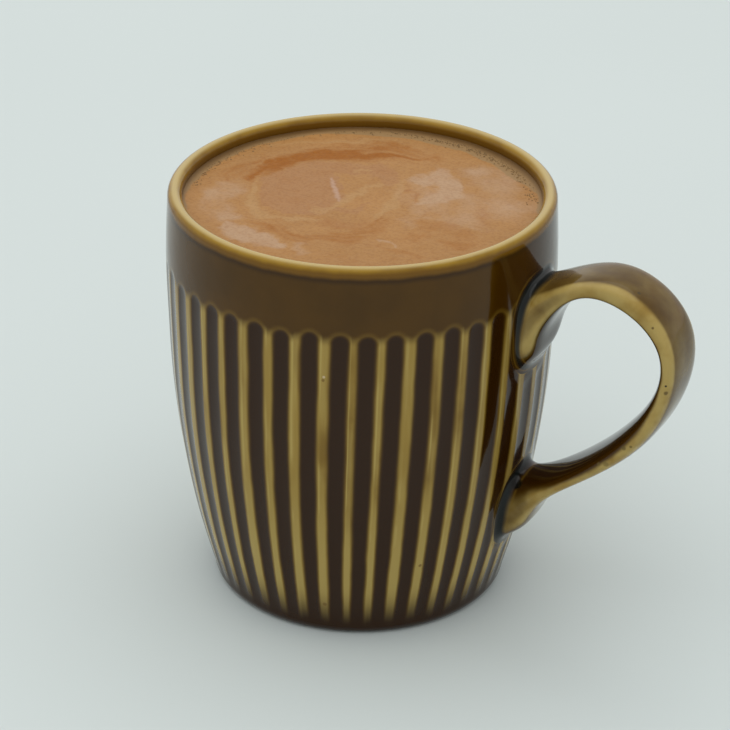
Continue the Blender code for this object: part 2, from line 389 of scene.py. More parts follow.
def add_handle(maker, rows, heights, angle, first_lower, first_upper):
    columns = len(angle)
    power = 2 / STRAP_FULLNESS
    roots = []
    for first, flip in ((first_upper, False), (first_lower, True)):
        walk = window_walk(first, flip)
        ids = np.array([rows[r][c % columns] for r, c in walk])
        height = np.array([heights[r] for r, _ in walk])
        theta = np.array([angle[c % columns] for _, c in walk]) + lean(height)
        theta = (theta + math.pi) % (2 * math.pi) - math.pi
        if flip:
            middle, tall, wide = LOWER_ROOT_MIDDLE, LOWER_ROOT_TALL, LOWER_ROOT_WIDE
        else:
            middle = (heights[first] + heights[first + ROOT_ROWS]) / 2
            tall, wide = UPPER_ROOT_TALL, UPPER_ROOT_WIDE
        a = theta * 42.0 / wide
        b = (height - middle) / tall * (-1 if flip else 1)
        turn = np.arctan2(np.sign(b) * np.abs(b) ** (1 / power), np.sign(a) * np.abs(a) ** (1 / power))
        roots.append({"ids": ids, "theta": theta, "height": height, "turn": np.unwrap(turn)})
    upper, lower = roots
    whole_turns = np.round((upper["turn"][0] - lower["turn"][0]) / (2 * math.pi))
    lower["turn"] = lower["turn"] + 2 * math.pi * whole_turns

    def line(u):
        """Skin points for all the lines at the same u, or one u for each."""
        share = smooth_step(0.1, 0.9, u)
        return tube(u, upper["turn"] + (lower["turn"] - upper["turn"]) * share)

    fine = np.linspace(0, 1, 1201)
    skin = np.stack([line(np.full(len(upper["turn"]), u))[0] for u in fine])      # (u, line, 3)
    outside = np.hypot(skin[..., 0], skin[..., 1]) - body_radius(np.clip(skin[..., 2], 5, 92))
    walked = np.concatenate([np.zeros((1, skin.shape[1])),
                             np.cumsum(np.linalg.norm(np.diff(skin, axis=0), axis=-1), 0)])
    lines = np.arange(skin.shape[1])
    for root, half in ((upper, range(0, 500)), (lower, range(1200, 700, -1))):
        order = np.array(half)
        inside = outside[order] < 0
        # the last point inside the wall, going outwards along each line
        crossing = np.array([np.nonzero(inside[:, k])[0].max() for k in lines])
        step = order[1] - order[0]
        i0 = order[crossing]
        i1 = i0 + step
        g0, g1 = outside[i0, lines], outside[i1, lines]
        share = g0 / (g0 - g1)
        root["u"] = fine[i0] + share * (fine[i1] - fine[i0])
        root["joint"] = skin[i0, lines] + share[:, None] * (skin[i1, lines] - skin[i0, lines])
        root["length"] = walked[i0, lines] + share * (walked[i1, lines] - walked[i0, lines])
        sign = 1 if step > 0 else -1
        root["u_free"] = np.array([
            np.interp(root["length"][k] + sign * FILLET_ON_STRAP, walked[:, k], fine) for k in lines])

    # The strap between the two fillets
    strap = []
    for share in np.linspace(0, 1, STRAP_ROWS + 1):
        u = upper["u_free"] + (lower["u_free"] - upper["u_free"]) * share
        points, across, through = line(u)
        length = np.array([np.interp(u[k], fine, walked[:, k]) for k in lines])
        away = np.minimum(length - upper["length"], lower["length"] - length)
        strap.append(maker.add(points, across=3.0, past=FAR_PAST, rim=FAR_FROM_RIM,
                               pool=seam_pool(away, upper["turn"], length - upper["length"] < 15,
                                              on_strap=True),
                               thin=strap_thinness(across, through, u),
                               dark=strap_inner_shade(across, through, u)))
    for before, after in zip(strap, strap[1:]):
        maker.strip(before, after)

    for root, end in ((upper, strap[0]), (lower, strap[-1])):
        theta_q = np.arctan2(root["joint"][:, 1], root["joint"][:, 0])
        height_q = root["joint"][:, 2]
        reach = np.stack([(root["theta"] - theta_q) * 42.0, root["height"] - height_q], -1)
        length = np.linalg.norm(reach, axis=-1)
        radius = np.minimum(FILLET_ON_WALL, 0.6 * length)
        share_f = radius / length
        rings = [root["ids"]]
        for step in range(1, PATCH_STEPS + 1):
            toward = step / PATCH_STEPS
            share = 1 - toward * (1 - share_f)
            theta = theta_q + (root["theta"] - theta_q) * share
            height = height_q + (root["height"] - height_q) * share
            number, place = flute_at(theta, height)
            away = share * length
            fill = 1 - smooth_step(0.0, 3.0, away - radius)
            points, measures = fluted(number, place, theta, height, fill)
            rings.append(maker.add(points, rim=FAR_FROM_RIM,
                                   pool=seam_pool(away, root["turn"], root is upper), **measures))
            foot = points
        free, across, through = line(root["u_free"])
        thin = strap_thinness(across, through, root["u_free"])
        dark = strap_inner_shade(across, through, root["u_free"])
        for step in range(1, FILLET_STEPS):
            s = step / FILLET_STEPS
            points = (1 - s) ** 2 * foot + 2 * s * (1 - s) * root["joint"] + s ** 2 * free
            away = np.linalg.norm(points - root["joint"], axis=-1)
            rings.append(maker.add(points, across=3.0, past=FAR_PAST, rim=FAR_FROM_RIM, thin=thin * s,
                                   dark=dark * s,
                                   pool=seam_pool(away, root["turn"], root is upper, on_strap=True)))
        rings.append(end)
        for before, after in zip(rings, rings[1:]):
            if root is upper:
                maker.strip(before, after)
            else:
                maker.strip(after, before)


def strap_thinness(across, through, u):
    """The glaze is thin along the strap's narrow sides, and close to the upper root along their edges."""
    turned_in = 1.5 * smooth_step(0.0, -0.5, through) * smooth_step(0.25, 0.10, u)
    side = smooth_step(0.58 - 0.22 * turned_in, 0.92 - 0.20 * turned_in, np.abs(across))
    lowest = (-0.90 + 0.56 * smooth_step(0.28, 0.46, u) + 0.34 * smooth_step(0.46, 0.62, u)
              - 0.42 * smooth_step(0.65, 0.80, u))
    fading = 0.12 + 0.22 * smooth_step(0.40, 0.50, u) + 0.12 * smooth_step(0.62, 0.78, u)
    middle = smooth_step(lowest - fading, lowest + 0.40, through)
    near_root = smooth_step(0.27, 0.13, u)
    edges = np.exp(-((through - 0.62) / 0.20) ** 2) + np.exp(-((through + 0.50) / 0.28) ** 2)
    value = side * middle * (1 - near_root * (0.55 - 0.45 * np.minimum(edges, 1)))
    value = value * (1 - 0.55 * smooth_step(0.72, 0.84, u) * smooth_step(0.85, 0.35, through))
    return np.maximum(value, 0.36 * smooth_step(-0.2, 0.5, through))


def strap_inner_shade(across, through, u):
    """Painted shade: the strap's inner face, which faces the cup, and just round its edges are coloured near
    black.
    """
    onto_side = (0.22 * smooth_step(0.10, 0.22, u) * smooth_step(0.75, 0.60, u)
                 - 0.22 * smooth_step(0.14, 0.06, u))
    return (smooth_step(-0.45 + onto_side, -0.85 + onto_side, through)
            * smooth_step(1.04, 0.88, np.abs(across)))


def seam_pool(away, turn, at_upper_root, on_strap=False):
    """The glaze has gathered where the handle was joined on, most of all above it."""
    above = np.maximum(np.sin(turn), 0.0) ** 0.7
    upper = 1.30 + 1.50 * above * (1.4 if on_strap else 0.75) - 0.35 * np.maximum(-np.sin(turn), 0.0)
    spread = np.where(at_upper_root, upper, 2.35 + 0.35 * np.sin(turn))
    return np.exp(-(np.asarray(away) / spread) ** 2)


# ---------------------------------------------------------------- materials
class Graph:
    """Short calls for building a material's nodes."""

    def __init__(self, name):
        self.material = bpy.data.materials.new(name)
        self.material.use_nodes = True
        self.tree = self.material.node_tree
        self.shader = self.tree.nodes["Principled BSDF"]
        self.position = self.node("ShaderNodeTexCoord").outputs["Object"]

    def node(self, kind, **settings):
        made = self.tree.nodes.new(kind)
        for key, value in settings.items():
            setattr(made, key, value)
        return made

    def wire(self, socket, value):
        if isinstance(value, bpy.types.NodeSocket):
            self.tree.links.new(value, socket)
        else:
            socket.default_value = value

    def math(self, operation, *values, clamp=False):
        made = self.node("ShaderNodeMath", operation=operation, use_clamp=clamp)
        for socket, value in zip(made.inputs, values):
            self.wire(socket, value)
        return made.outputs[0]

    def ramp(self, value, low, high, to_low=0.0, to_high=1.0):
        made = self.node("ShaderNodeMapRange", interpolation_type="SMOOTHSTEP")
        for socket, entry in zip(made.inputs, (value, low, high, to_low, to_high)):
            self.wire(socket, entry)
        return made.outputs[0]

    def mix(self, share, first, second, blend="MIX"):
        made = self.node("ShaderNodeMix", data_type="RGBA", blend_type=blend)
        self.wire(made.inputs[0], share)
        self.wire(made.inputs[6], first if isinstance(first, bpy.types.NodeSocket) else (*first, 1.0))
        self.wire(made.inputs[7], second if isinstance(second, bpy.types.NodeSocket) else (*second, 1.0))
        return made.outputs[2]

    def measure(self, name):
        return self.node("ShaderNodeAttribute", attribute_name=name).outputs["Fac"]

    def scaled(self, factors):
        made = self.node("ShaderNodeVectorMath", operation="MULTIPLY")
        self.wire(made.inputs[0], self.position)
        self.wire(made.inputs[1], factors)
        return made.outputs[0]

    def noise(self, size, detail=2.0, roughness=0.5, vector=None):
        """Soft noise between 0 and 1, with features of about this size in metres."""
        made = self.node("ShaderNodeTexNoise")
        self.wire(made.inputs["Vector"], vector if vector is not None else self.position)
        self.wire(made.inputs["Scale"], 1 / size)
        self.wire(made.inputs["Detail"], detail)
        self.wire(made.inputs["Roughness"], roughness)
        return made.outputs["Fac"]

    def bump(self, height, distance, strength=1.0, normal=None):
        made = self.node("ShaderNodeBump")
        self.wire(made.inputs["Height"], height)
        self.wire(made.inputs["Distance"], distance)
        self.wire(made.inputs["Strength"], strength)
        if normal is not None:
            self.wire(made.inputs["Normal"], normal)
        return made.outputs["Normal"]


BAND_BROWN = (0.059, 0.0265, 0.0010)
BAND_HANDLE_SHADE = (0.037, 0.0130, 0.0005)
RIDGE_GOLD = (0.297, 0.195, 0.0390)
RIDGE_PALE = (0.405, 0.300, 0.087)
OLIVE_BROWN = (0.185, 0.107, 0.0150)
DEEP_OLIVE = (0.078, 0.038, 0.0030)
GROOVE_BLACK = (0.025, 0.0088, 0.0008)
RIM_CREAM_AND_HIGHLIGHT = (0.510, 0.390, 0.160)
RIM_GOLD = (0.310, 0.180, 0.0140)
RIM_AMBER = (0.150, 0.070, 0.0050)
RIM_LINE = (0.034, 0.0140, 0.0010)
INNER_BROWN = (0.085, 0.034, 0.0050)
POOL_BLUE = (0.008, 0.0098, 0.0090)
BARE_CLAY = (0.42, 0.32, 0.22)

MARKS = (                # place in millimetres, radius, colour, strength
    ((12.41, -41.00, 69.41), 0.34, (0.62, 0.52, 0.36), 0.65),
    ((12.25, -41.05, 68.60), 0.40, (0.10, 0.045, 0.008), 0.6),
    ((27.89, -25.04, 19.51), 0.50, (0.10, 0.035, 0.006), 0.6),
    ((9.04, -33.75, 8.69), 0.55, (0.11, 0.040, 0.006), 0.5),
    ((75.72, -7.43, 67.65), 0.30, (0.01, 0.010, 0.006), 1.0),
    ((75.76, -7.29, 65.93), 0.55, (0.06, 0.035, 0.010), 0.7),
    ((71.82, -6.87, 80.06), 0.35, (0.08, 0.045, 0.012), 0.8),
    ((67.08, -3.84, 85.65), 0.45, (0.05, 0.040, 0.020), 0.7),
    ((67.36, -8.09, 50.91), 0.60, (0.10, 0.070, 0.015), 0.7),
    ((68.90, -8.05, 51.60), 0.40, (0.10, 0.070, 0.015), 0.7),
    ((63.48, -8.18, 46.01), 0.75, (0.14, 0.095, 0.022), 0.6),
    ((61.90, -8.10, 45.60), 0.55, (0.14, 0.095, 0.022), 0.5),
    # Painted shade: the last mark is a near-black spot for the small pit at the lower root
    ((41.57, -5.24, 33.67), 1.45, (0.004, 0.003, 0.002), 1.0),
)


def glaze_material():
    g = Graph("brown_glaze_look")
    across = g.measure("across")
    past = g.measure("past")
    side = g.measure("side")
    thin = g.math("MULTIPLY", g.measure("thin"), g.ramp(g.noise(0.008, 3.0), 0.30, 0.70, 0.80, 1.22))
    pool = g.measure("pool")
    rim = g.measure("rim")

    # Uneven edges: the measures wander a little, more along than across
    wander = g.math("SUBTRACT", g.noise(0.0045, 2.5, vector=g.scaled((1.0, 1.0, 0.32))), 0.5)
    past_end = g.math("MAXIMUM", past, 0.0)
    squares = g.math("ADD", g.math("MULTIPLY", across, across), g.math("MULTIPLY", past_end, past_end))
    reach = g.math("DIVIDE", g.math("SQRT", squares), FLUTE_HALF_WIDTH)
    reach = g.math("ADD", reach, g.math("MULTIPLY", wander, 0.34))
    reach = g.math("MULTIPLY", reach, g.ramp(past, -72.0, -30.0, 1.09, 1.0))
    lower = g.ramp(past, -62.0, -25.0, 1.0, 0.0)

    # Thin glaze on the ridges, which darkens up into the plain band and down into the foot; the foot's lowest
    # edge is painted shade
    below_band = g.ramp(g.math("ADD", past, g.math("MULTIPLY", wander, 1.2)), -0.9, 2.0, 1.0, 0.0)
    above_foot = g.ramp(past, -75.5, -63.5, 0.0, 1.0)
    ridge = g.math("MULTIPLY", below_band, above_foot)
    streaks = g.noise(0.0045, 2.0, vector=g.scaled((1.0, 1.0, 0.12)))
    patches = g.noise(0.0022, 2.0, vector=g.scaled((1.0, 1.0, 0.10)))
    # The ridges' shoulders are paler where the glaze is thin; one shoulder painted paler than the other is a
    # painted highlight
    pale = g.math("MULTIPLY", g.ramp(reach, 1.08, 1.42), g.ramp(side, -0.5, 0.6, 0.30, 0.65))
    pale = g.math("MULTIPLY", pale, g.ramp(patches, 0.34, 0.64, 0.15, 1.45))
    gold = g.mix(g.ramp(g.math("ADD", streaks, g.math("MULTIPLY", lower, 0.2)), 0.38, 0.58),
                 OLIVE_BROWN, RIDGE_GOLD)
    gold = g.mix(g.ramp(g.noise(0.012, 3.0), 0.36, 0.62, 0.0, 0.65), gold, RIDGE_GOLD)
    pale = g.math("MAXIMUM", pale, g.math("MULTIPLY", lower, g.ramp(reach, 1.12, 1.36, 0.0, 0.85)))
    gold = g.mix(pale, gold, RIDGE_PALE)
    gold = g.mix(g.ramp(reach, 0.80, 1.34), DEEP_OLIVE, gold)

    # A faint paler line round the arched end of each flute
    halo = g.math("MULTIPLY", g.ramp(reach, 0.85, 1.16), g.ramp(reach, 1.16, 1.75, 1.0, 0.0))
    halo = g.math("MULTIPLY", halo, g.ramp(past, -0.5, 0.8))
    band = g.mix(g.ramp(g.noise(0.012, 3.0), 0.3, 0.7), BAND_BROWN, [c * 1.22 for c in BAND_BROWN])
    # Painted shade: the band is darker beside the handle, where the handle shades it
    beside_handle = g.node("ShaderNodeSeparateXYZ")
    g.wire(beside_handle.inputs[0], g.position)
    band = g.mix(g.ramp(beside_handle.outputs["X"], 0.0386, 0.0402, 0.0, 0.8), band, BAND_HANDLE_SHADE)
    band = g.mix(g.math("MULTIPLY", halo, 0.33), band, OLIVE_BROWN)

    foot_dark = g.ramp(past, -73.0, -64.0, 1.0, 0.0)
    colour = g.mix(ridge, g.mix(foot_dark, band, GROOVE_BLACK), gold)
    groove = g.ramp(reach, 0.62, 1.19, 1.0, 0.0)
    # Painted shade: the lowest few millimetres, where the foot curves under towards the floor, go near black
    low = g.ramp(past, -77.0, -72.0, 1.0, 0.0)
    colour = g.mix(g.math("MAXIMUM", groove, low), colour, GROOVE_BLACK)

    # The handle, and the glaze gathered round its roots
    edge_gold = g.mix(g.ramp(g.noise(0.006, 3.0), 0.35, 0.7), (0.395, 0.287, 0.088), (0.290, 0.184, 0.038))
    colour = g.mix(g.ramp(thin, 0.0, 0.35, 0.0, 0.5), colour, DEEP_OLIVE)
    colour = g.mix(g.ramp(thin, 0.15, 0.95), colour, edge_gold)
    # Painted shade on the strap's inner face, which faces the cup
    colour = g.mix(g.math("MULTIPLY", g.measure("dark"), 0.92), colour, GROOVE_BLACK)
    pool = g.math("ADD", pool, g.math("MULTIPLY", wander, 0.22))
    outline = g.math("MULTIPLY", g.ramp(pool, 0.14, 0.30), g.ramp(pool, 0.30, 0.50, 1.0, 0.0))
    colour = g.mix(g.math("MULTIPLY", outline, 0.38), colour, OLIVE_BROWN)
    colour = g.mix(g.ramp(pool, 0.30, 0.86), colour, POOL_BLUE)

    # The lip: the glaze has run off its crest and gathered below; the crest's pale cream is partly a painted
    # highlight
    rim_wander = g.math("ADD", rim, g.math("MULTIPLY", wander, 0.8))
    colour = g.mix(g.ramp(rim_wander, 3.3, 4.8, 1.0, 0.0), colour, RIM_LINE)
    colour = g.mix(g.ramp(rim_wander, 2.5, 3.7, 1.0, 0.0), colour, RIM_AMBER)
    uneven_gold = g.mix(g.ramp(g.noise(0.009, 3.0), 0.40, 0.66, 0.0, 0.55), RIM_GOLD, RIM_AMBER)
    colour = g.mix(g.ramp(rim_wander, 0.9, 2.3, 1.0, 0.0), colour, uneven_gold)
    # Thin glaze on the crest, painted paler still as a painted highlight
    crest = g.math("MULTIPLY", g.ramp(rim, -1.3, -0.2), g.ramp(rim, 0.2, 1.2, 1.0, 0.0))
    colour = g.mix(g.math("MULTIPLY", crest, 0.9), colour, RIM_CREAM_AND_HIGHLIGHT)
    colour = g.mix(g.ramp(rim_wander, -2.6, -1.0, 1.0, 0.0), colour, RIM_AMBER)
    colour = g.mix(g.ramp(rim_wander, -4.4, -2.8, 1.0, 0.0), colour, INNER_BROWN)

    for place, radius, mark, strength in MARKS:
        apart = g.node("ShaderNodeVectorMath", operation="DISTANCE")
        g.wire(apart.inputs[0], g.position)
        g.wire(apart.inputs[1], [v * MM for v in place])
        spot = g.ramp(apart.outputs["Value"], radius * 0.55 * MM, radius * 1.15 * MM, strength, 0.0)
        colour = g.mix(spot, colour, mark)
    colour = g.mix(g.measure("bare"), colour, BARE_CLAY)

    g.wire(g.shader.inputs["Base Color"], colour)
    g.wire(g.shader.inputs["Roughness"], g.ramp(g.measure("bare"), 0.0, 1.0, 0.075, 0.8))
    g.shader.inputs["IOR"].default_value = 1.32
    ripple = g.bump(g.noise(0.011, 2.0), 0.00010)
    g.wire(g.shader.inputs["Normal"], g.bump(g.noise(0.0016, 2.0), 0.000010, normal=ripple))
    return g.material


# ---------------------------------------------------------------- the drink
DRINK_RINGS = 120
DRINK_COLUMNS = 400
INTO_WALL = 0.35


def to_view_frame(points):
    c, s = math.cos(-VIEW_TURN), math.sin(-VIEW_TURN)
    return np.stack([c * points[..., 0] - s * points[..., 1], s * points[..., 0] + c * points[..., 1]], -1)


def stroke(points, path, widths, softness):
    """1 inside a brush stroke along the path, with its own half width at each path point."""
    path = np.asarray(path, float)
    widths = np.asarray(widths, float)
    best = np.full(len(points), -1e9)
    for a, b, wa, wb in zip(path, path[1:], widths, widths[1:]):
        ab = b - a
        t = np.clip(((points - a) @ ab) / (ab @ ab), 0, 1)
        d = np.linalg.norm(points - a - t[:, None] * ab, axis=1)
        best = np.maximum(best, (wa + (wb - wa) * t) - d)
    return smooth_step(-softness, softness, best)


def warp(points, size, amount, salt):
    """Moves plan points by smooth noise, so that what is painted on them wanders."""
    moved = points.copy()
    for axis in (0, 1):
        moved[:, axis] += amount * np.array([
            noise.fractal((p[0] / size + salt, p[1] / size - salt, 3.7 * axis + salt), 0.8, 2.0, 3)
            for p in points])
    return moved


def fractal(points, size, salt, octaves=4):
    """Smooth noise about 0 over plan points, with features of about this size."""
    return np.array([noise.fractal((p[0] / size + salt, p[1] / size - salt, salt), 0.75, 2.0, octaves)
                     for p in points])


def painted(view, from_wall):
    """The froth's swirls over plan points in the view's directions, each measure from 0 to 1; the edge
    measure is painted shade where the cup's wall shades the froth.
    """
    soft = warp(view, 9.0, 1.8, 1.0)
    fine = warp(soft, 3.0, 1.1, 5.0)

    # Streaks that follow the stirring round the cup
    around = np.arctan2(soft[:, 1] - 2.0, soft[:, 0] + 3.0)
    out = np.hypot(soft[:, 0] + 3.0, soft[:, 1] - 2.0)
    streak = fractal(np.stack([around * 7.0, out * 1.9], 1), 2.6, 9.0)
    blotch = fractal(view, 7.0, 3.0)

    arc = stroke(fine, [(-25, 9.5), (-23.3, 13), (-20, 18.6), (-15, 22.2), (-10, 24.2), (-5, 25),
                        (0, 24.3), (5, 23.6), (10, 22.4), (14, 21.5)],
                 [0.5, 1.4, 2.0, 2.4, 2.7, 2.8, 2.6, 2.0, 1.2, 0.4], 2.0)
    above = stroke(fine, [(-12, 27.5), (-5, 29.5), (2, 29), (8, 26.8), (13, 24.4), (17, 22)],
                   [0.8, 1.8, 2.2, 2.4, 2.4, 1.6], 1.6)
    left = stroke(fine, [(-29, 9), (-28, 13.5), (-25.5, 18.5), (-21, 23)], [0.8, 1.8, 1.6, 0.8], 1.6)
    crescent = stroke(fine, [(-24, -12), (-20.5, -16), (-15, -19.3), (-9, -20.8), (-3, -20),
                             (1.5, -17), (4, -13), (4.6, -9)],
                      [0.8, 1.6, 1.9, 2.1, 2.4, 2.5, 1.9, 0.8], 1.4)
    hollow = stroke(fine, [(-9, -12.5), (-4, -13.5), (0, -13)], [1.0, 2.0, 1.6], 1.4)
    spots = stroke(fine, [(9.8, 3.6), (12, 3.0), (12, -0.8)], [0.8, 1.2, 0.7], 0.7)
    spots = np.maximum(spots, 0.8 * stroke(fine, [(13, -14), (18, -14.5), (21.5, -18.5)],
                                           [2.0, 2.6, 1.6], 1.6))
    spots = np.maximum(spots, stroke(fine, [(10.5, -19.8), (13.5, -20.3)], [1.0, 0.8], 0.9))
    spots = np.maximum(spots, stroke(fine, [(18, -22.5), (21, -22.3)], [1.6, 1.6], 1.0))
    spots = np.maximum(spots, 0.9 * stroke(fine, [(3, -23.5), (7, -26), (11.5, -29.3)], [0.7, 1.0, 0.7], 0.8))
    spots = np.maximum(spots, 0.6 * stroke(fine, [(27, -5), (26, -12)], [1.5, 1.2], 1.4))
    deep = arc * np.clip(1.05 + 0.55 * streak, 0.4, 1.3)
    deep = np.maximum(deep, 0.50 * above * np.clip(0.9 + 0.7 * streak, 0, 1.3))
    deep = np.maximum(deep, 0.38 * left * np.clip(0.9 + 0.7 * streak, 0, 1.3))
    deep = np.maximum(deep, 0.42 * crescent * np.clip(0.9 + 0.6 * streak, 0, 1.3))
    deep = np.maximum(deep, 0.34 * spots)
    deep = np.maximum(deep, 0.20 * hollow)
    deep = np.clip(deep + 0.10 * streak + 0.04, 0, 1)

    disc = stroke(fine, [(-13.5, 8), (-13, 0.5)], [8.6, 9.2], 0.8)
    disc = np.maximum(disc, 0.8 * stroke(fine, [(-15, 15), (-6, 17.5), (3, 16), (6.2, 9.5)],
                                         [3.4, 3.4, 3.6, 2.2], 1.2))
    disc = np.maximum(disc, 0.75 * stroke(fine, [(-6, -6.4), (-2, -6.6), (1, -3)], [1.2, 1.4, 0.9], 0.9))
    disc = np.maximum(disc, 0.5 * hollow)

    rings = stroke(fine, [(-22.5, 13), (-24.4, 6), (-24.2, -2), (-21, -9), (-15, -11.7), (-8, -11)],
                   [0.5, 0.9, 1.1, 1.2, 1.0, 0.5], 0.8)
    rings = np.maximum(rings, 0.9 * stroke(fine, [(-10, -6.8), (-6, -5), (-3, 1), (1, 7.5), (4, 8.5)],
                                           [1.1, 1.1, 1.3, 1.3, 0.6], 0.9))
    rings = np.maximum(rings, 0.9 * stroke(fine, [(3, -9.5), (6, -4), (7, 2), (8.4, 9)],
                                           [0.9, 1.5, 1.1, 0.6], 0.9))
    rings = np.maximum(rings, 0.7 * stroke(fine, [(-20, 28.5), (-10, 31.8), (0, 32.6), (8, 31.5)],
                                           [0.5, 0.8, 0.8, 0.4], 0.7))
    rings = np.maximum(rings, 0.8 * stroke(fine, [(-2.2, 15.6), (1.0, 15.8)], [0.7, 0.7], 0.5))

    pale = stroke(fine, [(12, 8), (17, 13.5), (19.5, 7), (17.5, 1.5), (13.5, -1.5)],
                  [2.4, 3.4, 3.0, 3.2, 1.2], 2.2)
    pale = np.maximum(pale, stroke(fine, [(-28.5, -16), (-23.5, -20.5), (-18, -24.8)], [2.2, 3.4, 2.0], 1.5))
    pale = np.maximum(pale, 0.55 * stroke(fine, [(28, 13), (30, 4), (33, -3)], [6, 6, 3], 3.0))
    pale = np.maximum(pale, 0.5 * stroke(fine, [(13, -5), (10, -11), (9.5, -15)], [3.6, 2.0, 1.0], 1.4))
    pale = np.maximum(pale, 0.5 * stroke(fine, [(14, -10.5), (20, -11.5), (24, -16)], [1.0, 1.6, 0.8], 0.9))
    pale = np.maximum(pale, 0.55 * stroke(fine, [(-30, 6), (-31.5, 0), (-29, -10)], [3.6, 4.0, 3.0], 2.2))
    pale = np.maximum(pale, 0.6 * stroke(fine, [(-14, -23.5), (-12.5, -28)], [1.0, 1.6], 1.2))
    pale = np.maximum(pale, 0.8 * stroke(fine, [(4, -21), (8, -24)], [0.9, 0.5], 0.6))
    pale = np.maximum(pale, 0.5 * stroke(soft, [(14, 2), (22, -6), (31, -6)], [7, 10, 7], 6.0))
    pale = np.maximum(pale, 0.42 * stroke(soft, [(-33, 4), (-33, -10)], [2.5, 2.5], 3.0))
    line = stroke(warp(view, 2.0, 0.35, 2.0), [(-7.0, 10.8), (-6.3, 6.5), (-5.5, 2), (-5.2, -1.6)],
                  [0.25, 0.5, 0.5, 0.15], 0.4)

    turn = np.degrees(np.arctan2(view[:, 1], view[:, 0]))
    behind = smooth_step(-5, 35, turn) * smooth_step(185, 140, turn)
    right = smooth_step(0, 25, turn) * smooth_step(110, 75, turn)
    width = 0.6 + 1.6 * behind + 2.3 * right + 0.6 * blotch
    foam = smooth_step(width + 0.9, width - 0.5, from_wall)
    return {"deep": deep, "disc": np.clip(disc + 0.15 * blotch, 0, 1), "rings": np.clip(rings, 0, 1),
            "pale": np.clip(pale + 0.25 * blotch * (pale > 0.05), 0, 1), "line": line, "foam": foam,
            # edge: painted shade on the froth next to the wall, strongest at the back
            "edge": smooth_step(0.8 + 1.7 * behind, 0.1, from_wall) * (0.5 + 0.5 * behind)}


def add_bubbles(maker, level, wall):
    """Tiny bubbles in the froth along the back of the cup: low domes with a dark middle."""
    rng = np.random.default_rng(11)
    placed = []
    for _ in range(900):
        turn = rng.uniform(-4, 172)
        back = np.exp(-((turn - 48) / 34) ** 2) + 0.30 * np.exp(-((turn - 140) / 30) ** 2) + 0.15
        if rng.uniform() > back:
            continue
        inward = 0.7 + abs(rng.normal(1.1, 0.8)) + 0.6 * back
        size = rng.uniform(0.09, 0.19) * (1.3 if rng.uniform() < 0.12 else 1.0)
        placed.append((turn, inward, size))
    for turn, inward in ((79.5, 2.0), (78.5, 2.4), (62.0, 3.2), (61.2, 3.0), (54.0, 2.9), (53.2, 3.2),
                         (49.0, 3.0), (48.3, 3.3), (37.0, 3.4), (80.3, 1.6)):
        placed.append((turn, inward, 0.27))
    for turn, inward, size in placed:
        angle = math.radians(turn) + VIEW_TURN
        distance = wall - inward
        base = np.array([distance * math.cos(angle), distance * math.sin(angle), level + 0.03])
        sides = np.arange(8) * math.pi / 4
        circle = np.stack([np.cos(sides), np.sin(sides), 0 * sides], -1)
        lower = maker.add(base + circle * size * 1.25 - (0, 0, 0.12), foam=1.0)
        rim = maker.add(base + circle * size + (0, 0, size * 0.42), foam=1.0)
        inner = maker.add(base + circle * size * 0.62 + (0, 0, size * 0.50), foam=1.0, pit=0.75)
        top = maker.add((base + (0, 0, size * 0.34))[None], foam=1.0, pit=1.0)[0]
        under = maker.add((base - (0, 0, 0.12))[None], foam=1.0)[0]
        maker.strip(lower, rim)
        maker.strip(rim, inner)
        maker.fan(inner, top)
        maker.fan(lower, under, flip=True)


def make_drink():
    maker = MeshMaker("deep", "disc", "rings", "pale", "line", "foam", "edge", "pit")
    level = CUP_HEIGHT - DRINK_BELOW_RIM
    wall = float(cavity_radius(level))
    angles = np.arange(DRINK_COLUMNS) * 2 * math.pi / DRINK_COLUMNS
    share = np.linspace(0.008, 1, DRINK_RINGS)
    radii = wall * (0.35 * np.sqrt(share) + 0.65 * share)
    flat = (radii[:, None, None] * np.stack([np.cos(angles), np.sin(angles)], -1)).reshape(-1, 2)
    view = to_view_frame(flat)
    from_wall = wall - np.linalg.norm(flat, axis=1)
    measures = painted(view, from_wall)

    meniscus = 0.40 * np.exp(-from_wall / 0.7)
    swell = fractal(view, 6.0, 0.3, 3)
    froth = fractal(view, 0.9, 7.1, 2)
    height = level + meniscus + 0.05 * swell + 0.035 * froth * (0.25 + measures["foam"])
    shape = (DRINK_RINGS, DRINK_COLUMNS)
    points = np.concatenate([flat, height[:, None]], 1).reshape(*shape, 3)
    grid = maker.add(points, **{name: values.reshape(shape) for name, values in measures.items()})
    middle = maker.add(np.array([[0, 0, level]]), deep=0.05, disc=0.4)[0]
    maker.fan(grid[0], middle)
    for inner, outer in zip(grid, grid[1:]):
        maker.strip(outer, inner)
    add_bubbles(maker, level, wall)

    # The unseen body of the drink, just inside the clay
    def ring(radius, height):
        return maker.add(np.stack([radius * np.cos(angles), radius * np.sin(angles),
                                   height + 0 * angles], -1))

    corner_height = FLOOR_HEIGHT + FLOOR_CORNER_RADIUS
    corner_radius = float(cavity_radius(corner_height)) - FLOOR_CORNER_RADIUS
    sides = [ring(wall + INTO_WALL, level + 0.2)]
    sides += [ring(float(cavity_radius(h)) + INTO_WALL, h) for h in (86.0, 76.0, 46.0)]
    for step in range(5):
        bend = math.pi / 2 * step / 4
        radius = FLOOR_CORNER_RADIUS + INTO_WALL
        sides.append(ring(corner_radius + radius * math.cos(bend), corner_height - radius * math.sin(bend)))
    chain = [grid[-1]] + sides
    for upper, lower in zip(chain, chain[1:]):
        maker.strip(lower, upper)
    base = maker.add(np.array([[0, 0, FLOOR_HEIGHT - INTO_WALL]]))[0]
    maker.fan(sides[-1], base, flip=True)
    return maker.make("mocha_drink")


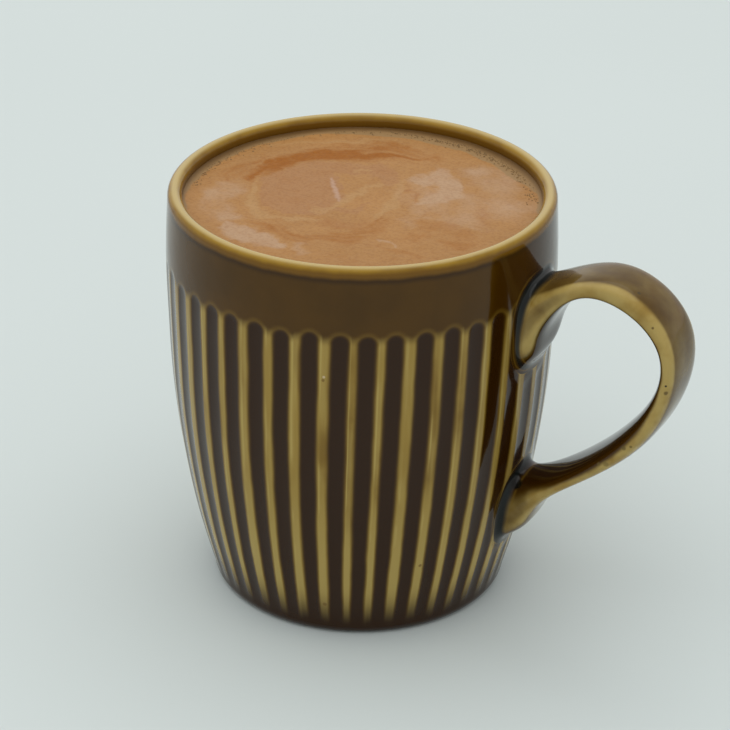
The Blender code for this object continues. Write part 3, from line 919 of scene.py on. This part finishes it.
MILK_TAN = (0.415, 0.212, 0.070)
DEEP_ORANGE = (0.305, 0.100, 0.0040)
DISC_PINK = (0.375, 0.188, 0.076)
RING_TAN = (0.446, 0.262, 0.106)
PALE_PINK = (0.462, 0.302, 0.182)
LINE_WHITE = (0.540, 0.380, 0.300)
FOAM_TAN = (0.300, 0.192, 0.086)
WALL_SHADE_BROWN = (0.090, 0.042, 0.010)
BUBBLE_DARK = (0.048, 0.029, 0.012)


def mocha_material():
    g = Graph("mocha_look")
    grain = g.math("SUBTRACT", g.noise(0.0010, 3.0, 0.6), 0.5)
    strands = g.math("SUBTRACT", g.noise(0.0035, 4.0, 0.6), 0.5)
    mottle = g.math("ADD", g.math("MULTIPLY", grain, 0.7), g.math("MULTIPLY", strands, 0.9))

    def layer(name, amount=1.0):
        """A painted measure whose edges break up into fine strands."""
        broken = g.math("ADD", g.measure(name), g.math("MULTIPLY", mottle, amount))
        return g.math("MULTIPLY", g.ramp(broken, 0.12, 0.95), g.ramp(g.measure(name), 0.0, 0.12))

    colour = g.mix(g.ramp(g.noise(0.014, 4.0), 0.3, 0.7), MILK_TAN, [c * 0.93 for c in MILK_TAN])
    colour = g.mix(g.math("MULTIPLY", layer("disc", 0.3), 0.80), colour, DISC_PINK)
    colour = g.mix(g.math("MULTIPLY", layer("rings", 0.5), 0.60), colour, RING_TAN)
    colour = g.mix(g.math("MULTIPLY", layer("pale", 0.35), 0.80), colour, PALE_PINK)
    deep = g.math("ADD", g.measure("deep"), g.math("MULTIPLY", mottle, 0.62), clamp=True)
    colour = g.mix(deep, colour, DEEP_ORANGE)
    colour = g.mix(g.math("MULTIPLY", g.measure("line"), 0.5), colour, LINE_WHITE)
    speckle = g.ramp(g.noise(0.0008, 2.0, 0.7), 0.44, 0.66, 0.0, 0.26)
    colour = g.mix(speckle, colour, g.mix(1.0, colour, (0.58, 0.46, 0.36), "MULTIPLY"))
    froth = g.math("ADD", g.measure("foam"), g.math("MULTIPLY", mottle, 0.8))
    foam = g.math("MULTIPLY", g.ramp(froth, 0.2, 0.8), 0.85)
    colour = g.mix(foam, colour, FOAM_TAN)
    # Painted shade where the cup's wall shades the froth
    colour = g.mix(g.math("MULTIPLY", g.measure("edge"), 0.8), colour, WALL_SHADE_BROWN)
    colour = g.mix(g.math("MULTIPLY", g.measure("pit"), 0.9), colour, BUBBLE_DARK)
    g.wire(g.shader.inputs["Base Color"], colour)
    g.shader.inputs["Roughness"].default_value = 0.42
    g.shader.inputs["IOR"].default_value = 1.35
    g.shader.inputs["Specular IOR Level"].default_value = 0.2
    froth = g.bump(g.noise(0.0009, 3.0, 0.6), 0.00006)
    g.wire(g.shader.inputs["Normal"], froth)
    return g.material


# ---------------------------------------------------------------- studio
FLOOR_GREY = (0.640, 0.705, 0.690)
CAMERA_DISTANCE = 597.4
CAMERA_HEIGHT = 360.3
CAMERA_YAW = math.radians(0.09)
CAMERA_PITCH = math.radians(27.41)
CAMERA_ROLL = math.radians(0.64)
FOCAL_PIXELS = 3000.0
FRAME_PIXELS = 730.0


def make_floor():
    mesh = bpy.data.meshes.new("studio_floor")
    side = 4.0
    corners = [(-side, -side, 0), (side, -side, 0), (side, side, 0), (-side, side, 0)]
    mesh.from_pydata(corners, [], [(0, 1, 2, 3)])
    floor = bpy.data.objects.new("studio_floor", mesh)
    bpy.context.scene.collection.objects.link(floor)
    g = Graph("studio_floor_look")
    tone = g.mix(g.ramp(g.noise(0.25, 2.0), 0.3, 0.7), FLOOR_GREY, [c * 0.985 for c in FLOOR_GREY])
    g.wire(g.shader.inputs["Base Color"], tone)
    g.shader.inputs["Roughness"].default_value = 0.75
    g.shader.inputs["Specular IOR Level"].default_value = 0.2
    mesh.materials.append(g.material)


def view_rotation(vector):
    return Matrix.Rotation(VIEW_TURN, 3, "Z") @ Vector(vector)


def make_camera():
    data = bpy.data.cameras.new("camera")
    data.sensor_width = 36.0
    data.lens = FOCAL_PIXELS / FRAME_PIXELS * data.sensor_width
    data.clip_start = 0.01
    data.clip_end = 20.0
    camera = bpy.data.objects.new("camera", data)
    bpy.context.scene.collection.objects.link(camera)
    forward = Vector((math.sin(CAMERA_YAW) * math.cos(CAMERA_PITCH),
                      math.cos(CAMERA_YAW) * math.cos(CAMERA_PITCH),
                      -math.sin(CAMERA_PITCH)))
    right = Vector((math.cos(CAMERA_YAW), -math.sin(CAMERA_YAW), 0.0))
    up = right.cross(forward)
    right, up = (right * math.cos(CAMERA_ROLL) + up * math.sin(CAMERA_ROLL),
                 up * math.cos(CAMERA_ROLL) - right * math.sin(CAMERA_ROLL))
    axes = [view_rotation(v) for v in (right, up, -forward)]
    rotation = Matrix(axes).transposed().to_4x4()
    place = view_rotation((0, -CAMERA_DISTANCE * MM, CAMERA_HEIGHT * MM))
    camera.matrix_world = Matrix.Translation(place) @ rotation
    bpy.context.scene.camera = camera


def add_area_light(name, place, target, size, power, glossy=True, colour=(1, 1, 1)):
    data = bpy.data.lights.new(name, "AREA")
    data.shape = "DISK"
    data.size = size
    data.energy = power
    data.color = colour
    lamp = bpy.data.objects.new(name, data)
    bpy.context.scene.collection.objects.link(lamp)
    lamp.location = view_rotation(place)
    aim = view_rotation(target) - lamp.location
    lamp.rotation_mode = "QUATERNION"
    lamp.rotation_quaternion = aim.to_track_quat("-Z", "Y")
    lamp.visible_glossy = glossy
    return lamp


def make_world():
    world = bpy.data.worlds.new("studio")
    bpy.context.scene.world = world
    world.use_nodes = True
    tree = world.node_tree
    background = tree.nodes["Background"]
    coordinates = tree.nodes.new("ShaderNodeTexCoord")
    facing = tree.nodes.new("ShaderNodeVectorMath")
    facing.operation = "DOT_PRODUCT"
    tree.links.new(coordinates.outputs["Generated"], facing.inputs[0])
    facing.inputs[1].default_value = view_rotation((0, -1, 0))
    ramp = tree.nodes.new("ShaderNodeMapRange")
    ramp.interpolation_type = "SMOOTHSTEP"
    for socket, value in zip(ramp.inputs, (None, 0.0, 0.9, 0.83, 0.66)):
        if value is not None:
            socket.default_value = value
    tree.links.new(facing.outputs["Value"], ramp.inputs[0])
    tree.links.new(ramp.outputs[0], background.inputs["Strength"])
    background.inputs["Color"].default_value = (1.0, 1.0, 1.0, 1.0)


# ---------------------------------------------------------------- assembly
mug = make_mug()
mug.data.materials.append(glaze_material())
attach(mug, "root")
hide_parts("mug")

drink = make_drink()
drink.data.materials.append(mocha_material())
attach(drink, "root")
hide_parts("drink")

make_floor()
make_camera()
make_world()
add_area_light("overhead", (-0.15, 0.10, 1.2), (0, 0, 0.04), 1.7, 4.8)
add_area_light("fill", (-0.2, -1.0, 0.9), (0, 0, 0.05), 1.2, 1.8, glossy=False)

settings = bpy.context.scene.view_settings
settings.view_transform = "Standard"
settings.look = "None"
